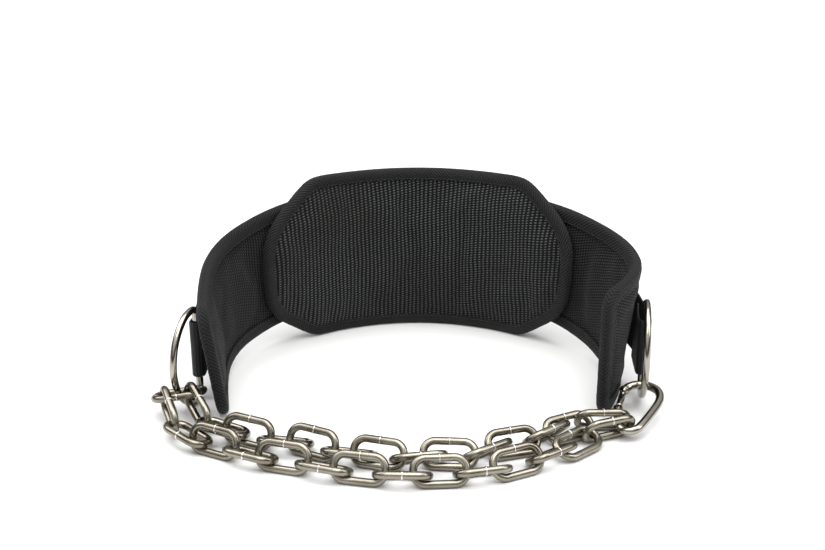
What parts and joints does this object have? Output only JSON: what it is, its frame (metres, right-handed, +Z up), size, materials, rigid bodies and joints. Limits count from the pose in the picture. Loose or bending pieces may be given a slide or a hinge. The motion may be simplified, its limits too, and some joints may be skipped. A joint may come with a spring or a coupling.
{
  "type": "dip belt",
  "caption": "Weight-lifting dip belt with a wide padded back, side D-rings on webbing, and a welded chain running from one ring to a snap carabiner on the other",
  "frame": {"origin": "on the floor under the centre of the bounding box", "axes": "+X to the viewer's right along the belt's width, +Y from the chain towards the back pad, +Z up"},
  "size_m": [0.4208, 0.3296, 0.1554],
  "materials": {
    "padded_cloth": "matte fine dotted weave over foam",
    "ribbed_cloth": "matte corded ribs over thick foam",
    "binding_tape": "fine twill tape, folded and stitched",
    "webbing": "ribbed woven webbing, slight sheen",
    "nickel": "smooth nickel plate, warm grey",
    "carabiner_steel": "smooth plated steel wire",
    "chain_steel": "plated welded wire with a weld mark on each link"
  },
  "bodies": {
    "belt": {"band": "padded_cloth", "band_binding": "binding_tape", "back_pad": "ribbed_cloth", "pad_binding": "binding_tape", "webbing_strap": "webbing", "ring_left": "nickel", "ring_right": "nickel", "carabiner_body": "carabiner_steel", "link_01": "chain_steel", "link_02": "chain_steel", "link_03": "chain_steel", "link_04": "chain_steel", "link_05": "chain_steel", "link_06": "chain_steel", "link_07": "chain_steel", "link_08": "chain_steel", "link_09": "chain_steel", "link_10": "chain_steel", "link_11": "chain_steel", "link_12": "chain_steel", "link_13": "chain_steel", "link_14": "chain_steel", "link_15": "chain_steel", "link_16": "chain_steel", "link_17": "chain_steel", "link_18": "chain_steel", "link_19": "chain_steel", "link_20": "chain_steel", "link_21": "chain_steel", "link_22": "chain_steel", "link_23": "chain_steel", "link_24": "chain_steel", "link_25": "chain_steel", "link_26": "chain_steel", "link_27": "chain_steel", "link_28": "chain_steel", "link_29": "chain_steel"},
    "gate": {"carabiner_gate": "carabiner_steel"}
  },
  "joints": [
    {"name": "gate_hinge", "type": "hinge", "parent": "belt", "child": "gate", "pos_m": [0.1709, -0.06095, 0.01449], "axis": [0.0796, 0.1874, -0.979], "range_deg": [0, 24], "stiffness_Nm_per_rad": 0.02}
  ]
}
